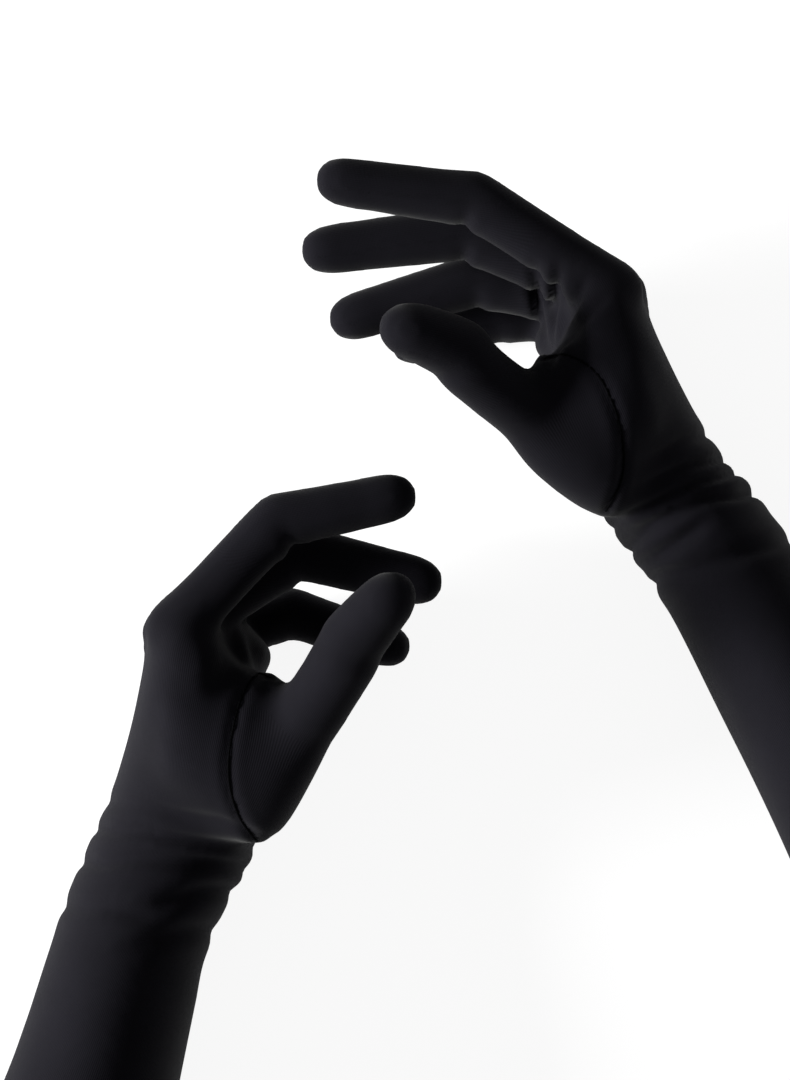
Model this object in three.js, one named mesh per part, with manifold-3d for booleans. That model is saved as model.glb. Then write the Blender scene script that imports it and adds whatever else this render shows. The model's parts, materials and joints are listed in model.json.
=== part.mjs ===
// A pair of black stretch-knit opera gloves, lying on their little-finger sides with the thumbs up.
// Millimetres, +Z up. Each glove is built in its own frame: +Y runs from the wrist towards the fingers,
// +X towards the palm on the left glove and away from it on the right one, and +Z towards the thumb.
import * as THREE from 'three';
import { mergeVertices } from 'three/addons/utils/BufferGeometryUtils.js';
import Module from 'manifold-3d';

const wasm = await Module();
wasm.setup();

// Fabric
const WALL = 1.2; // knit and its seam allowance
const GAP = 0.3; // between neighbouring pieces
const SLEEVE_SIDES = 20;
const HAND_SIDES = 20;
const FINGER_SIDES = 12;

// Sleeve, measured back from the wrist hinge
const FOREARM = 240; // wrist hinge to elbow hinge
const SLEEVE = 380; // wrist hinge to hem
const HEM = 16; // depth of the turned-up hem
const ELBOW_HALF = 39.5; // half breadth at the elbow
const HEM_HALF = 42;
const ELBOW_POWER = 3; // squares the sleeve a little where it bends
const ELBOW_TUCK = 2.5; // how much slimmer the upper sleeve is where it enters the forearm sleeve

// Hand, measured on from the wrist hinge
const WRIST_BREADTH = 26; // half sizes
const PALM_BREADTH = 37.1;
const KNUCKLE_THICK = 12;
const KNUCKLE_X = -7.5; // the knuckles lie towards the back of the hand
const LITTLE_KNUCKLE = 60;
const INDEX_KNUCKLE = 68;
const LITTLE_HEIGHT = 10.9; // centre of the little finger above the floor
const FINGER_PITCH = 16.8;

// Fingers from the little finger up: lengths from knuckle to middle joint and on to the tip,
// and half thicknesses at the knuckle and at the middle joint
const FINGERS = [
  { name: 'little', base: 34, tip: 36, thick: 7.2, joint: 6.9 },
  { name: 'ring', base: 40, tip: 44, thick: 7.8, joint: 7.4 },
  { name: 'middle', base: 43, tip: 47, thick: 8, joint: 7.6 },
  { name: 'index', base: 44, tip: 45, thick: 7.7, joint: 7.5 },
];
const FINGER_BREADTH = 8.1;

// Thumb, which rises out of the palm's plane
const THUMB = { gusset: 44, base: 29.5, tip: 27, tilt: 27, heading: 18.5 };

// The way each glove lies: angles in degrees, flexion towards the palm, heights above the floor.
// reach scales a finger's length, since a filled knit finger draws out or slackens
const GLOVES = {
  left: {
    side: 1,
    wrist: [-67.4, -91.5],
    heading: -19.5,
    wristBend: -7.8,
    wristThick: 24.3,
    wristShift: 3.5,
    forearmThick: 24.5,
    fingers: { little: [63, 34], ring: [47, 46], middle: [45, 47], index: [35, 31] },
    reach: { little: 1, ring: 0.95, middle: 0.93, index: 0.9 },
    thumb: { root: [19, 10, 42], base: 2.5, tip: 10 },
  },
  right: {
    side: -1,
    wrist: [81.1, 7.3],
    heading: 30,
    wristBend: -6,
    wristThick: 19.6,
    wristShift: -2,
    forearmThick: 21.5,
    fingers: { little: [67, 16], ring: [56, 28], middle: [43, 31], index: [33.6, 27] },
    reach: { little: 1, ring: 1, middle: 1.035, index: 1.025 },
    thumb: { root: [11, 7, 42], base: 12.5, tip: 19 },
  },
};

const rad = THREE.MathUtils.degToRad;

// Height of a section's centre that lays its lowest facet on the floor
function resting(halfBreadth, sides, power = 2) {
  return halfBreadth * Math.cos(Math.PI / sides) ** (2 / power);
}

// One oval section across a limb at y. thick and broad are half sizes along X and Z, x and z its centre,
// leanX and leanZ how far it leans along Y for each millimetre across, and power squares its corners.
function ring(y, thick, broad, { x = 0, z = 0, leanX = 0, leanZ = 0, power = 2 } = {}) {
  return { y, thick, broad, x, z, leanX, leanZ, power };
}

function grown(section, by) {
  return { ...section, thick: section.thick + by, broad: section.broad + by };
}

function onAxis(section, y) {
  return { ...section, y, thick: 0, broad: 0, leanX: 0, leanZ: 0 };
}

// Sections that round off the end of a limb at tipY, as a quarter ellipse
function dome(last, tipY) {
  return [28, 54, 74].map((angle) => ({
    ...last,
    y: last.y + (tipY - last.y) * Math.sin(rad(angle)),
    thick: last.thick * Math.cos(rad(angle)),
    broad: last.broad * Math.cos(rad(angle)),
  }));
}

function rounded(value, power) {
  return Math.sign(value) * Math.abs(value) ** (2 / power);
}

// Turns a lathed profile, one point to each section, into the oval limb that the sections describe
function lathe(sections, sides) {
  const profile = sections.map((s) => new THREE.Vector2(s.thick > 0 ? 1 : 0, s.y));
  const geometry = new THREE.LatheGeometry(profile, sides, Math.PI / sides);
  const place = geometry.attributes.position;
  for (let i = 0; i < place.count; i += 1) {
    const s = sections[i % sections.length];
    const turn = Math.PI / sides + (Math.floor(i / sections.length) * 2 * Math.PI) / sides;
    const x = s.thick * rounded(Math.sin(turn), s.power);
    const z = s.broad * rounded(Math.cos(turn), s.power);
    place.setXYZ(i, s.x + x, s.y + s.leanX * x + s.leanZ * z, s.z + z);
  }
  return geometry;
}

// A sleeve of knit, open at both ends
function openTube(sections, sides, { grow = 0, wall = WALL } = {}) {
  const outer = sections.map((s) => grown(s, grow));
  const inner = sections.map((s) => grown(s, grow - wall)).reverse();
  return lathe([...outer, ...inner, outer[0]], sides);
}

// A fingertip of knit, open at its root and domed at its tip
function domedTube(sections, tipY, sides) {
  const outer = domed(sections, tipY, 0);
  const inner = domed(sections, tipY, -WALL).reverse();
  return lathe([...inner, ...outer], sides);
}

function domed(sections, tipY, grow) {
  const body = sections.map((s) => grown(s, grow));
  const last = body.at(-1);
  return [...body, ...dome(last, tipY + grow), onAxis(last, tipY + grow)];
}

function filledTube(sections, sides, grow = 0) {
  const body = sections.map((s) => grown(s, grow));
  return lathe([onAxis(body[0], body[0].y), ...body, onAxis(body.at(-1), body.at(-1).y)], sides);
}

function filledDome(sections, tipY, sides, grow) {
  const body = domed(sections, tipY, grow);
  return lathe([onAxis(body[0], body[0].y), ...body], sides);
}

function toSolid(geometry) {
  const plain = geometry.clone();
  plain.deleteAttribute('normal');
  plain.deleteAttribute('uv');
  const merged = mergeVertices(plain, 1e-4);
  const faces = [];
  const index = merged.index.array;
  for (let i = 0; i < index.length; i += 3) {
    const [a, b, c] = [index[i], index[i + 1], index[i + 2]];
    if (a !== b && b !== c && c !== a) faces.push(a, b, c);
  }
  return new wasm.Manifold(
    new wasm.Mesh({
      numProp: 3,
      vertProperties: new Float32Array(merged.attributes.position.array),
      triVerts: new Uint32Array(faces),
    }),
  );
}

function toGeometry(solid) {
  const { vertProperties, triVerts } = solid.getMesh();
  const geometry = new THREE.BufferGeometry();
  geometry.setAttribute('position', new THREE.BufferAttribute(vertProperties, 3));
  geometry.setIndex(new THREE.BufferAttribute(triVerts, 1));
  return geometry;
}

// Turns a left-hand shape into a right-hand one
function mirrored(geometry) {
  const flipped = geometry.clone().scale(-1, 1, 1);
  const index = flipped.index.array;
  for (let i = 0; i < index.length; i += 3) [index[i], index[i + 1]] = [index[i + 1], index[i]];
  return flipped;
}

// Adds one named piece of a glove. Shapes are given for the left hand.
function addPiece(glove, parent, name, geometry, finish) {
  const solid = toGeometry(toSolid(geometry));
  const shape = glove.side > 0 ? solid : mirrored(solid);
  shape.computeVertexNormals();
  const mesh = new THREE.Mesh(shape, new THREE.MeshStandardMaterial(finish));
  mesh.name = `${glove.name}_${name}`;
  parent.add(mesh);
}

const KNIT = { color: 0x16161b, roughness: 0.85, metalness: 0 };
const KNIT_INSIDE = { color: 0x101014, roughness: 0.9, metalness: 0 };
const THREAD = { color: 0x08080b, roughness: 0.7, metalness: 0 };

// A group whose origin is a hinge and whose Z axis is the hinge's axis
function hinge(glove, parent, name, [x, y, z], flexion) {
  const group = new THREE.Group();
  group.name = `${glove.name}_${name}`;
  group.position.set(glove.side * x, y, z);
  group.rotation.z = -glove.side * rad(flexion);
  parent.add(group);
  return group;
}

// A strip of seam allowance along the little-finger side, inside the knit
function seamAllowance(from, to) {
  const strip = new THREE.Shape();
  strip.moveTo(-1.5, -1);
  strip.lineTo(1.5, -1);
  strip.lineTo(1.5, 1);
  strip.lineTo(-1.5, 1);
  strip.closePath();
  return new THREE.ExtrudeGeometry(strip, {
    steps: 1,
    bevelEnabled: false,
    extrudePath: new THREE.LineCurve3(from, to),
  });
}

function sleeveRing(y, thick, broad, options = {}) {
  return ring(y, thick, broad, { z: resting(broad, SLEEVE_SIDES, options.power), ...options });
}

function forearmSleeve(glove, parent) {
  const { wristThick, wristShift, forearmThick } = glove;
  const elbowLean = 36 / (2 * ELBOW_HALF);
  const sections = [
    sleeveRing(-FOREARM + 12, ELBOW_HALF - 4, ELBOW_HALF, { leanZ: elbowLean, power: ELBOW_POWER }),
    sleeveRing(-FOREARM + 50, ELBOW_HALF - 4, ELBOW_HALF, { power: ELBOW_POWER }),
    sleeveRing(-130, (forearmThick + ELBOW_HALF - 5) / 2, 36),
    sleeveRing(-60, forearmThick, 31, { x: wristShift / 2 }),
    sleeveRing(-25, wristThick + 0.2, 27, { x: wristShift }),
    sleeveRing(-5, wristThick, WRIST_BREADTH, { x: wristShift }),
  ];
  addPiece(glove, parent, 'forearm_sleeve', openTube(sections, SLEEVE_SIDES), KNIT);
  const height = WALL + GAP + 1.5;
  addPiece(
    glove,
    parent,
    'forearm_seam',
    seamAllowance(new THREE.Vector3(0, -FOREARM + 12, height), new THREE.Vector3(wristShift, -18, height)),
    KNIT_INSIDE,
  );
}

function upperSleeve(glove, parent) {
  const slim = ELBOW_HALF - ELBOW_TUCK;
  const elbowHeight = resting(ELBOW_HALF, SLEEVE_SIDES, ELBOW_POWER);
  const tucked = (y, leanZ = 0) =>
    ring(y, slim - 4.4, slim, { z: elbowHeight, power: ELBOW_POWER, leanZ });
  const hemThick = HEM_HALF - 2.5;
  const sections = [
    sleeveRing(-SLEEVE, hemThick - 1.6, HEM_HALF - 1.6, { z: resting(HEM_HALF, SLEEVE_SIDES) }),
    sleeveRing(-SLEEVE + HEM, hemThick - 1.6, HEM_HALF - 1.6, { z: resting(HEM_HALF, SLEEVE_SIDES) }),
    sleeveRing(-SLEEVE + HEM + 4, hemThick, HEM_HALF),
    sleeveRing(-FOREARM - 50, ELBOW_HALF - 3, ELBOW_HALF + 0.5),
    tucked(-FOREARM - 36),
    tucked(-FOREARM + 20.5, 29 / (2 * slim)),
  ];
  const lift = (geometry) => geometry.translate(0, FOREARM, -elbowHeight);
  addPiece(glove, parent, 'upper_sleeve', lift(openTube(sections, SLEEVE_SIDES)), KNIT);

  const edge = sections.slice(0, 2);
  const band = openTube(edge, SLEEVE_SIDES, { grow: -WALL - GAP });
  addPiece(glove, parent, 'hem_band', lift(band), KNIT_INSIDE);

  for (const [row, back] of [['outer', 3.5], ['inner', 0.8]]) {
    const start = -SLEEVE + HEM - back;
    const thread = [
      sleeveRing(start - 0.9, edge[0].thick, edge[0].broad, { z: edge[0].z }),
      sleeveRing(start, edge[0].thick, edge[0].broad, { z: edge[0].z }),
    ];
    const stitch = openTube(thread, SLEEVE_SIDES, { grow: GAP + 0.9, wall: 0.9 });
    addPiece(glove, parent, `hem_stitch_${row}`, lift(stitch), THREAD);
  }

  const height = WALL + GAP + 1.5;
  const seam = seamAllowance(
    new THREE.Vector3(0, -SLEEVE + HEM + 8, height),
    new THREE.Vector3(0, -FOREARM - 54, height),
  );
  addPiece(glove, parent, 'upper_seam', lift(seam), KNIT_INSIDE);
}

// The knuckle line runs at a slant from the little finger to the index finger
function knuckle(order) {
  const share = order / (FINGERS.length - 1);
  const y = THREE.MathUtils.lerp(LITTLE_KNUCKLE, INDEX_KNUCKLE, share);
  return [KNUCKLE_X, y, LITTLE_HEIGHT + order * FINGER_PITCH];
}

function handSections(glove) {
  const inForearm = { x: glove.wristShift, z: resting(WRIST_BREADTH, SLEEVE_SIDES) };
  const slim = glove.wristThick - WALL - 2.6 - 0.3 * Math.abs(glove.wristShift);
  const lying = (broad, power, x) => ({ x, power, z: resting(broad, HAND_SIDES, power) });
  const knuckleSlope = (INDEX_KNUCKLE - LITTLE_KNUCKLE) / (3 * FINGER_PITCH);
  const opening = (LITTLE_KNUCKLE + INDEX_KNUCKLE) / 2 - 1.4;
  return [
    ring(-6.5, slim, WRIST_BREADTH - WALL - 1.6, inForearm),
    ring(9, slim + 0.4, WRIST_BREADTH - WALL - 1.6, inForearm),
    ring(20, (slim + 19) / 2 - 1, 30, lying(30, 2.6, glove.wristShift / 2 - 1)),
    ring(42, 14, 35, lying(35, 3.4, -3.4)),
    ring(opening, KNUCKLE_THICK, PALM_BREADTH, {
      ...lying(PALM_BREADTH, 4, KNUCKLE_X),
      leanX: -8.8 / (2 * KNUCKLE_THICK),
      leanZ: knuckleSlope,
    }),
  ];
}

// The gusset that carries the thumb, from the thumb's knuckle back to its rounded end near the wrist
function gussetSections() {
  return [
    ring(1.5, 11.4, 11.4, { leanX: -0.22 }),
    ring(12, 14, 14, { x: 2.5 }),
    ring(26, 14, 17, { x: 1 }),
  ];
}

function thumbPlace(glove, along) {
  const { root } = glove.thumb;
  return new THREE.Matrix4()
    .makeTranslation(root[0], root[1], root[2])
    .multiply(new THREE.Matrix4().makeRotationZ(-rad(THUMB.heading)))
    .multiply(new THREE.Matrix4().makeRotationX(rad(THUMB.tilt)))
    .multiply(new THREE.Matrix4().makeTranslation(0, along, 0));
}

function handAndGusset(glove, parent) {
  const hand = handSections(glove);
  const gusset = gussetSections();
  const gussetEnd = 43;
  const backwards = thumbPlace(glove, THUMB.gusset).multiply(new THREE.Matrix4().makeRotationZ(Math.PI));
  const handFilled = (grow) => toSolid(filledTube(hand, HAND_SIDES, grow));
  const gussetFilled = (grow) =>
    toSolid(filledDome(gusset, gussetEnd, HAND_SIDES, grow).applyMatrix4(backwards));

  const shell = toSolid(openTube(hand, HAND_SIDES)).subtract(gussetFilled(-WALL));
  addPiece(glove, parent, 'hand', toGeometry(shell), KNIT);

  const pouch = toSolid(domedTube(gusset, gussetEnd, HAND_SIDES).applyMatrix4(backwards));
  addPiece(glove, parent, 'thumb_gusset', toGeometry(pouch.subtract(handFilled(GAP))), KNIT);

  const around = gussetFilled(GAP + 1).subtract(gussetFilled(GAP));
  const over = handFilled(GAP + 1).subtract(handFilled(GAP));
  addPiece(glove, parent, 'thumb_seam', toGeometry(around.intersect(over)), THREAD);

  const height = WALL + GAP + 1.5;
  const seam = seamAllowance(new THREE.Vector3(-3, 24, height), new THREE.Vector3(-6, 46, height));
  addPiece(glove, parent, 'hand_seam', seam, KNIT_INSIDE);
}

function fingerBase(finger) {
  const { base, thick, joint } = finger;
  return [
    ring(-5.8, thick, FINGER_BREADTH),
    ring(14, thick, FINGER_BREADTH),
    ring(base - 1.9, joint, FINGER_BREADTH - 0.4, { leanX: -0.44, power: 3 }),
  ];
}

function fingerTip(finger) {
  const slim = finger.joint - WALL - 0.5;
  return [
    ring(-3, slim, FINGER_BREADTH - 2.2, { leanX: -0.5, power: 3 }),
    ring(7, slim, FINGER_BREADTH - 2.2, { power: 3 }),
    ring(12, slim + 0.5, FINGER_BREADTH - 1.6),
    ring(finger.tip - 9, slim - 0.1, FINGER_BREADTH - 2.2),
  ];
}

function addFinger(glove, hand, usual, order) {
  const reach = glove.reach[usual.name];
  const finger = { ...usual, base: usual.base * reach, tip: usual.tip * reach };
  const [atKnuckle, atJoint] = glove.fingers[finger.name];
  const base = hinge(glove, hand, `${finger.name}_knuckle`, knuckle(order), atKnuckle);
  const baseTube = openTube(fingerBase(finger), FINGER_SIDES);
  addPiece(glove, base, `${finger.name}_base`, baseTube, KNIT);
  const tip = hinge(glove, base, `${finger.name}_joint`, [0, finger.base, 0], atJoint);
  const tipTube = domedTube(fingerTip(finger), finger.tip, FINGER_SIDES);
  addPiece(glove, tip, `${finger.name}_tip`, tipTube, KNIT);
}

function addThumb(glove, hand) {
  const saddle = new THREE.Group();
  const { root, base: atKnuckle, tip: atJoint } = glove.thumb;
  saddle.position.set(glove.side * root[0], root[1], root[2]);
  saddle.rotation.set(rad(THUMB.tilt), 0, -glove.side * rad(THUMB.heading), 'ZYX');
  hand.add(saddle);
  const base = hinge(glove, saddle, 'thumb_knuckle', [0, THUMB.gusset, 0], atKnuckle);
  const baseTube = openTube(
    [
      ring(-3.8, 9.3, 9.3, { leanX: -0.08 }),
      ring(8, 9.3, 9.3),
      ring(THUMB.base - 1, 9.8, 9.8, { leanX: -0.3 }),
    ],
    FINGER_SIDES,
  );
  addPiece(glove, base, 'thumb_base', baseTube, KNIT);
  const tip = hinge(glove, base, 'thumb_joint', [0, THUMB.base, 0], atJoint);
  const tipTube = domedTube(
    [
      ring(-3, 7.8, 7.8, { leanX: -0.2 }),
      ring(6, 7.8, 7.8),
      ring(11, 9, 8.6),
      ring(THUMB.tip - 10, 8.6, 8.2),
    ],
    THUMB.tip,
    FINGER_SIDES,
  );
  addPiece(glove, tip, 'thumb_tip', tipTube, KNIT);
}

function buildGlove(name) {
  const glove = { name, ...GLOVES[name] };
  const forearm = new THREE.Group();
  forearm.name = `${name}_forearm`;
  forearm.position.set(glove.wrist[0], glove.wrist[1], 0);
  forearm.rotation.z = rad(glove.heading);
  forearmSleeve(glove, forearm);

  const elbowHeight = resting(ELBOW_HALF, SLEEVE_SIDES, ELBOW_POWER);
  const elbow = hinge(glove, forearm, 'elbow', [0, -FOREARM, elbowHeight], 0);
  upperSleeve(glove, elbow);

  const hand = hinge(glove, forearm, 'wrist', [0, 0, 0], glove.wristBend);
  handAndGusset(glove, hand);
  FINGERS.forEach((finger, order) => addFinger(glove, hand, finger, order));
  addThumb(glove, hand);
  return forearm;
}

// The origin is on the floor, under the middle of the pair
const pair = new THREE.Group();
pair.add(buildGlove('left'), buildGlove('right'));
pair.updateMatrixWorld(true);
const box = new THREE.Box3().setFromObject(pair, true);
const middle = box.getCenter(new THREE.Vector3());
pair.position.set(-middle.x, -middle.y, -box.min.z);

export default pair;
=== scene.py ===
import json
import math

import bmesh
import bpy
import numpy as np
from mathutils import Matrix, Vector
from mathutils.bvhtree import BVHTree


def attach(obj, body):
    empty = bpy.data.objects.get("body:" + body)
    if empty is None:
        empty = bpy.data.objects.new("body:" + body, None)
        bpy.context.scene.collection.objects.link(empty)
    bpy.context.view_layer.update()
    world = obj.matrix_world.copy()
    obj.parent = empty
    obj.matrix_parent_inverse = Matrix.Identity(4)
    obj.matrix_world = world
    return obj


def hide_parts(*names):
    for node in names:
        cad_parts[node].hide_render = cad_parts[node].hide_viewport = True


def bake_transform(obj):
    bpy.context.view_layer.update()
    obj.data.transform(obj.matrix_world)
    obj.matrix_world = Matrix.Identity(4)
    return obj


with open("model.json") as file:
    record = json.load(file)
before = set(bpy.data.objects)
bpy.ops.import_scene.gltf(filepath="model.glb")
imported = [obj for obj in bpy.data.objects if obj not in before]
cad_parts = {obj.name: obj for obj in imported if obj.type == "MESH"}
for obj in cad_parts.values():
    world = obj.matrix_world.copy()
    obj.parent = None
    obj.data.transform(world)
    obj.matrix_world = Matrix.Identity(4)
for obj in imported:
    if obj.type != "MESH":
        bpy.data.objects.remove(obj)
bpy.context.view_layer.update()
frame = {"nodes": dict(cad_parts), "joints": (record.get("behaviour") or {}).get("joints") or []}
JOINTS = {joint["name"]: joint for joint in frame["joints"]}
MM = 0.001

VOXEL = 0.0015
KNIT_THICKNESS = 0.0009
FOREARM = 0.240
SLEEVE = 0.380
HEM = 0.016
SLEEVE_CUT = -0.120
STRETCH = 1.12
FINGERS = ["little", "ring", "middle", "index"]


# ---------------------------------------------------------------- camera

def add_camera():
    data = bpy.data.cameras.new("camera")
    data.lens = 170
    data.sensor_width = 36
    camera = bpy.data.objects.new("camera", data)
    bpy.context.scene.collection.objects.link(camera)
    view_height = 0.3086
    distance = view_height * data.lens / data.sensor_width
    camera.location = (-0.037, 0.1776, 0.05 + distance)
    camera.rotation_euler = (0, 0, 0)
    data.clip_end = 20
    bpy.context.scene.camera = camera


add_camera()


# ---------------------------------------------------------------- small helpers

def pivot(name):
    return np.array(JOINTS[name]["pos_m"], float)


def unit(vector):
    return np.array(vector, float) / np.linalg.norm(vector)


def smoothstep(low, high, value):
    share = np.clip((value - low) / (high - low), 0, 1)
    return share * share * (3 - 2 * share)


def curve_through(keys, values, at):
    """Smooth values at the places asked for, through the keys, without overshoot."""
    keys = np.array(keys, float)
    values = np.array(values, float)
    slope = np.diff(values) / np.diff(keys)
    tangent = np.concatenate([[slope[0]], (slope[1:] + slope[:-1]) / 2, [slope[-1]]])
    flat = np.concatenate([[False], slope[1:] * slope[:-1] <= 0, [False]])
    tangent[flat] = 0
    at = np.clip(at, keys[0], keys[-1])
    step = np.clip(np.searchsorted(keys, at) - 1, 0, len(keys) - 2)
    width = keys[step + 1] - keys[step]
    t = (at - keys[step]) / width
    return (
        (2 * t**3 - 3 * t**2 + 1) * values[step]
        + (t**3 - 2 * t**2 + t) * width * tangent[step]
        + (3 * t**2 - 2 * t**3) * values[step + 1]
        + (t**3 - t**2) * width * tangent[step + 1]
    )


class Frame:
    """Axes along a limb. X points out of the palm, Y to the fingertips, Z from little finger to index."""

    def __init__(self, origin, x, y, z):
        self.origin = np.array(origin, float)
        self.axes = np.array([unit(x), unit(y), unit(z)])

    def world(self, local):
        return self.origin + np.asarray(local, float) @ self.axes

    def local(self, world):
        return (np.asarray(world, float) - self.origin) @ self.axes.T


def smooth_path(points, count):
    points = np.array(points, float)
    keys = np.concatenate([[0], np.cumsum(np.linalg.norm(np.diff(points, axis=0), axis=1))])
    at = np.linspace(0, keys[-1], count)
    return np.stack([curve_through(keys, points[:, i], at) for i in range(points.shape[1])], 1)


def limb(place, along, palm, back, low, high, power=2.0, steps=None, sides=40):
    """A closed limb. Along it, palm and back are its edges in X and low and high its edges in Z, in mm."""
    steps = steps or max(8, int((along[-1] - along[0]) / 3))
    at = np.linspace(along[0], along[-1], steps)
    rows = [curve_through(along, v, at) for v in (palm, back, low, high)]
    powers = curve_through(along, np.broadcast_to(power, len(along)), at)
    turn = np.arange(sides) * 2 * math.pi / sides
    points = []
    for y, x1, x0, z0, z1, p in zip(at, *rows, powers):
        c, s = np.cos(turn), np.sin(turn)
        across = (x1 + x0) / 2 + (x1 - x0) / 2 * np.sign(c) * np.abs(c) ** (2 / p)
        up = (z1 + z0) / 2 + (z1 - z0) / 2 * np.sign(s) * np.abs(s) ** (2 / p)
        points.append(np.stack([across, np.full(sides, y), up], 1))
    faces = []
    for row in range(steps - 1):
        for side in range(sides):
            a, b = row * sides + side, row * sides + (side + 1) % sides
            faces.append((a, b, b + sides, a + sides))
    first, last = points[0].mean(0), points[-1].mean(0)
    total = steps * sides
    for side in range(sides):
        following = (side + 1) % sides
        faces.append((total, following, side))
        faces.append((total + 1, total - sides + side, total - sides + following))
    local = np.concatenate(points + [[first], [last]]) * MM
    return place.world(local), faces


def rounded_end(radius):
    """Places in from the end of a limb, and shares of its full width there, that round the end off."""
    angles = np.radians([90, 72, 50, 28, 0])
    return list(radius * (1 - np.sin(angles))), list(np.maximum(np.cos(angles), 0.02))


def digit(start, end, across, widths, depths, aside=(0, 0)):
    """A rounded limb from start to end. widths are its half sizes in the palm's direction, depths along Z
    and aside how far it lies over towards the palm, in mm, each given evenly from end to end."""
    start, end = np.array(start, float), np.array(end, float)
    length = np.linalg.norm(end - start) / MM
    y = unit(end - start)
    x = unit(np.array(across) - np.dot(across, y) * y)
    place = Frame(start, x, y, np.cross(x, y))
    ends = min(widths[-1] * 1.25, length * 0.45)
    begins = min(widths[0], length * 0.45)
    begin_places, begin_shares = rounded_end(begins)
    end_places, end_shares = rounded_end(ends)
    between = list(np.linspace(begins, length - ends, 5)[1:-1])
    along = begin_places + between + [length - place_in for place_in in reversed(end_places)]
    shares = np.array(begin_shares + [1] * len(between) + end_shares[::-1])
    keys = np.linspace(0, length, len(widths))
    wide = curve_through(keys, widths, np.array(along)) * shares
    deep = curve_through(keys, depths, np.array(along)) * shares
    over = curve_through(np.linspace(0, length, len(aside)), aside, np.array(along))
    return limb(place, along, over + wide, over - wide, -deep, deep, 2.1, steps=40, sides=32)


def mesh_object(name, points, faces):
    mesh = bpy.data.meshes.new(name)
    mesh.from_pydata([tuple(p) for p in points], [], [tuple(int(i) for i in f) for f in faces])
    mesh.update()
    made = bpy.data.objects.new(name, mesh)
    bpy.context.scene.collection.objects.link(made)
    return made


def fused(name, solids, voxel):
    """One closed quad skin round several overlapping closed solids."""
    points, faces, count = [], [], 0
    for solid_points, solid_faces in solids:
        points.append(solid_points)
        faces += [tuple(i + count for i in face) for face in solid_faces]
        count += len(solid_points)
    rough = mesh_object(name, np.concatenate(points), faces)
    cleaned = bmesh.new()
    cleaned.from_mesh(rough.data)
    bmesh.ops.recalc_face_normals(cleaned, faces=cleaned.faces)
    cleaned.to_mesh(rough.data)
    cleaned.free()
    remesh = rough.modifiers.new("skin", "REMESH")
    remesh.mode = "VOXEL"
    remesh.voxel_size = voxel
    evaluated = rough.evaluated_get(bpy.context.evaluated_depsgraph_get())
    mesh = evaluated.to_mesh()
    skin_points = np.zeros(len(mesh.vertices) * 3)
    mesh.vertices.foreach_get("co", skin_points)
    skin_faces = [tuple(p.vertices) for p in mesh.polygons]
    evaluated.to_mesh_clear()
    bpy.data.objects.remove(rough)
    return skin_points.reshape(-1, 3), skin_faces


class Skin:
    """The whole outside of one glove, as arrays that are easy to push about."""

    def __init__(self, points, faces):
        self.points = points
        self.faces = faces
        self.quads = np.array([f if len(f) == 4 else f + (f[0],) for f in faces])
        edges = np.concatenate([self.quads[:, [i, (i + 1) % 4]] for i in range(4)])
        edges = np.sort(edges[edges[:, 0] != edges[:, 1]], axis=1)
        self.edges = np.unique(edges, axis=0)
        both = self.edges.ravel()
        self.degree = np.bincount(both, minlength=len(points)).astype(float)

    def average(self, values):
        a, b = self.edges.T
        out = np.zeros_like(values)
        count = len(self.points)
        for i in range(values.shape[1]):
            out[:, i] = np.bincount(a, values[b, i], count) + np.bincount(b, values[a, i], count)
        return out / self.degree[:, None]

    def normals(self):
        p = self.points[self.quads]
        face = np.cross(p[:, 2] - p[:, 0], p[:, 3] - p[:, 1])
        out = np.zeros_like(self.points)
        for corner in range(4):
            for i in range(3):
                out[:, i] += np.bincount(self.quads[:, corner], face[:, i], len(self.points))
        return out / np.maximum(np.linalg.norm(out, axis=1), 1e-12)[:, None]

    def smooth(self, rounds, weight=1.0, keep_size=True):
        weight = np.broadcast_to(weight, len(self.points))[:, None]
        for _ in range(rounds):
            self.points = self.points + 0.5 * weight * (self.average(self.points) - self.points)
            if keep_size:
                self.points = self.points - 0.52 * weight * (self.average(self.points) - self.points)

    def push(self, amount):
        self.points = self.points + self.normals() * amount[:, None]


# ---------------------------------------------------------------- the shape of each glove

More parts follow.
